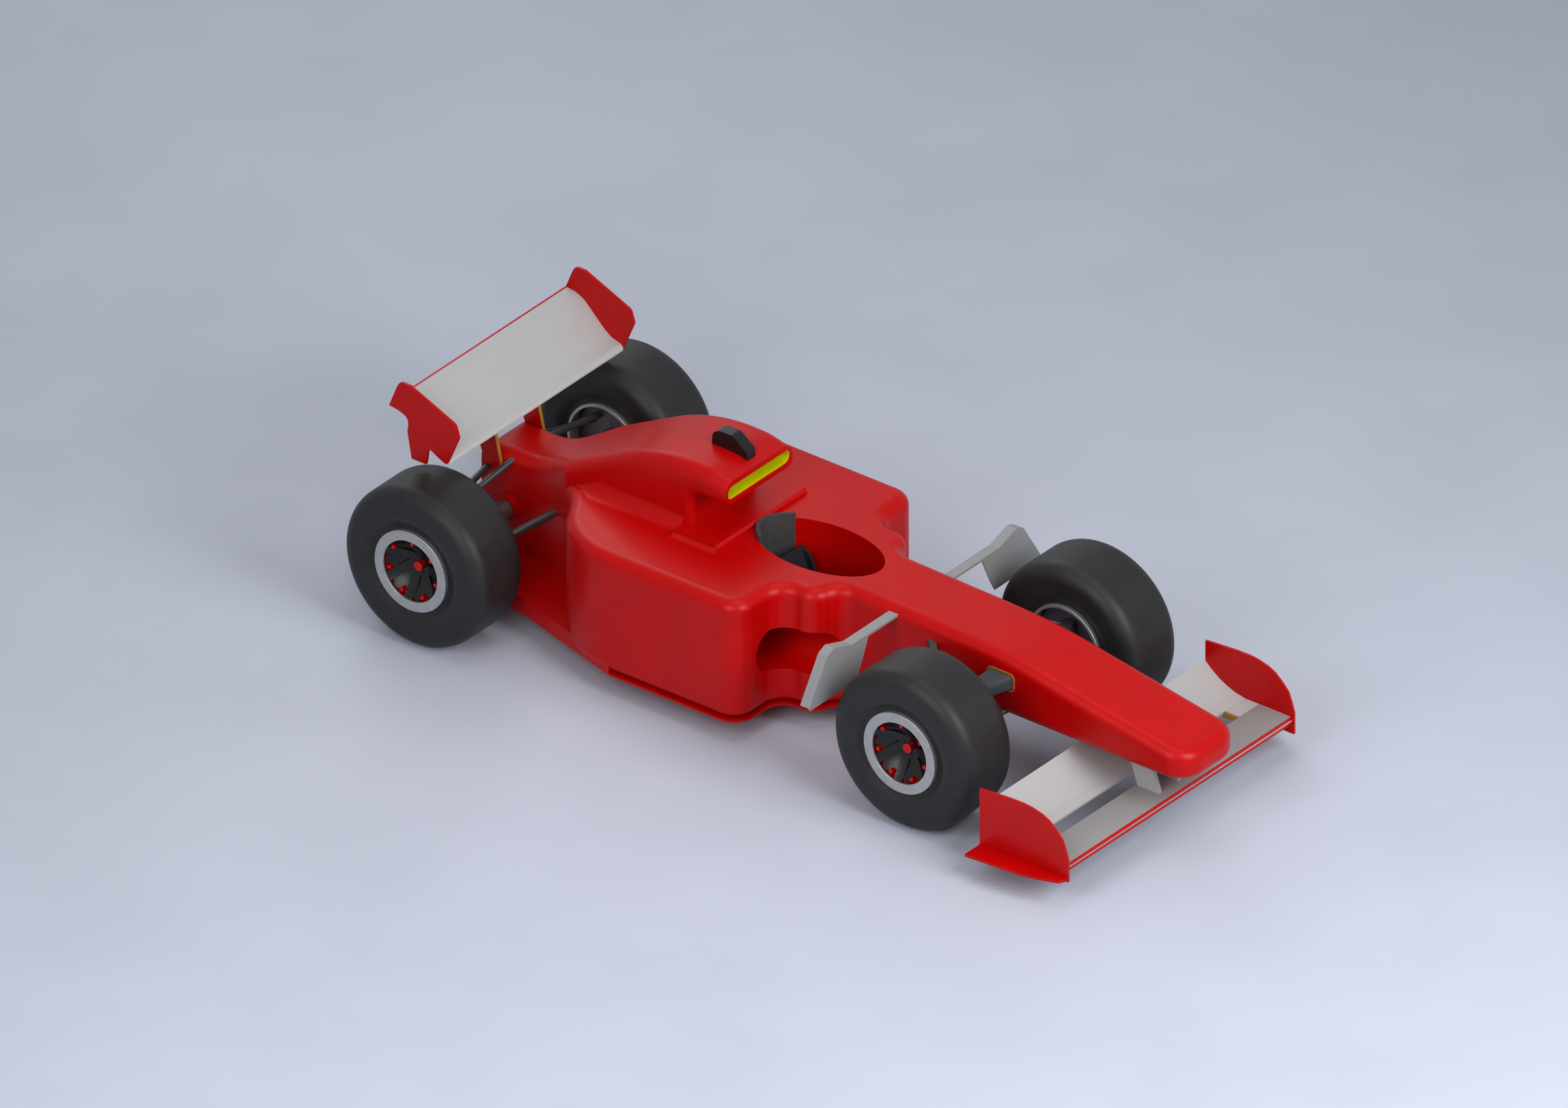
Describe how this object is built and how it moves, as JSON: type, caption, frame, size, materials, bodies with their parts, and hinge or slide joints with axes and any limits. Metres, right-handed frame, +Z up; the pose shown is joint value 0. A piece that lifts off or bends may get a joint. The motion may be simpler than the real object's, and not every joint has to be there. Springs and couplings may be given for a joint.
{
  "type": "open wheel racing car",
  "caption": "Open wheel racing car in plain red with pale wings, turbine wheel centres, an open cockpit and a wide intake above the engine cover.",
  "frame": {"origin": "middle of the car's outline on the ground", "axes": "+Z up, the nose points to -Y, +X is the driver's left"},
  "size_m": [1.83, 4.2059, 1.17],
  "materials": {
    "body_paint": "gloss",
    "tail_paint": "gloss",
    "wing_paint": "satin",
    "vane_paint": "satin",
    "dark_composite": "matte",
    "tyre_rubber": "matte",
    "rim_metal": "satin",
    "centre_black": "gloss",
    "shield_metal": "satin",
    "shaft_steel": "satin",
    "intake_yellow": "gloss",
    "engine_iron": "rough",
    "seat_cloth": "matte",
    "wheel_grip": "matte"
  },
  "bodies": {
    "root": {"engine_cover": "body_paint", "side_pod_left": "body_paint", "side_pod_right": "body_paint", "tub": "body_paint", "nose_cone": "body_paint", "rear_wing_struts": "body_paint", "floor": "body_paint", "front_endplate_left": "body_paint", "front_endplate_right": "body_paint", "rear_endplate_left": "body_paint", "rear_endplate_right": "body_paint", "rear_body": "tail_paint", "front_wing": "wing_paint", "rear_wing": "wing_paint", "vane_left": "vane_paint", "vane_right": "vane_paint", "front_arms_left": "dark_composite", "front_arms_right": "dark_composite", "rear_links_left": "dark_composite", "rear_links_right": "dark_composite", "headrest": "dark_composite", "roof_camera": "centre_black", "upright_rear_left": "shield_metal", "upright_rear_right": "shield_metal", "steering_column": "shaft_steel", "intake_liner": "intake_yellow", "engine_block": "engine_iron", "seat": "seat_cloth"},
    "knuckle_front_left": {"upright_front_left": "shield_metal"},
    "wheel_front_left": {"tyre_front_left": "tyre_rubber", "rim_front_left": "rim_metal", "wheel_centre_front_left": "centre_black"},
    "wheel_rear_left": {"tyre_rear_left": "tyre_rubber", "rim_rear_left": "rim_metal", "wheel_centre_rear_left": "centre_black", "drive_shaft_left": "shaft_steel"},
    "knuckle_front_right": {"upright_front_right": "shield_metal"},
    "wheel_front_right": {"tyre_front_right": "tyre_rubber", "rim_front_right": "rim_metal", "wheel_centre_front_right": "centre_black"},
    "wheel_rear_right": {"tyre_rear_right": "tyre_rubber", "rim_rear_right": "rim_metal", "wheel_centre_rear_right": "centre_black", "drive_shaft_right": "shaft_steel"},
    "steering_wheel": {"steering_wheel": "wheel_grip"}
  },
  "joints": [
    {"name": "steer_left", "type": "hinge", "parent": "root", "child": "knuckle_front_left", "pos_m": [0.452, -0.937, 0.39], "axis": [0, 0, 1], "range_deg": [-16, 16]},
    {"name": "spin_front_left", "type": "hinge", "parent": "knuckle_front_left", "child": "wheel_front_left", "pos_m": [0.585, -0.937, 0.39], "axis": [1, 0, 0], "continuous": true},
    {"name": "spin_rear_left", "type": "hinge", "parent": "root", "child": "wheel_rear_left", "pos_m": [0.686, 1.713, 0.39], "axis": [1, 0, 0], "continuous": true},
    {"name": "steer_right", "type": "hinge", "parent": "root", "child": "knuckle_front_right", "pos_m": [-0.452, -0.937, 0.39], "axis": [0, 0, 1], "range_deg": [-16, 16]},
    {"name": "spin_front_right", "type": "hinge", "parent": "knuckle_front_right", "child": "wheel_front_right", "pos_m": [-0.585, -0.937, 0.39], "axis": [1, 0, 0], "continuous": true},
    {"name": "spin_rear_right", "type": "hinge", "parent": "root", "child": "wheel_rear_right", "pos_m": [-0.686, 1.713, 0.39], "axis": [1, 0, 0], "continuous": true},
    {"name": "turn_steering_wheel", "type": "hinge", "parent": "root", "child": "steering_wheel", "pos_m": [0, -0.087, 0.48], "axis": [0, 0.9272, 0.3746], "range_deg": [-144, 144]}
  ],
  "couplings": [
    {"joint": "steer_right", "follows": "steer_left", "ratio": 1},
    {"joint": "turn_steering_wheel", "follows": "steer_left", "ratio": 9}
  ]
}
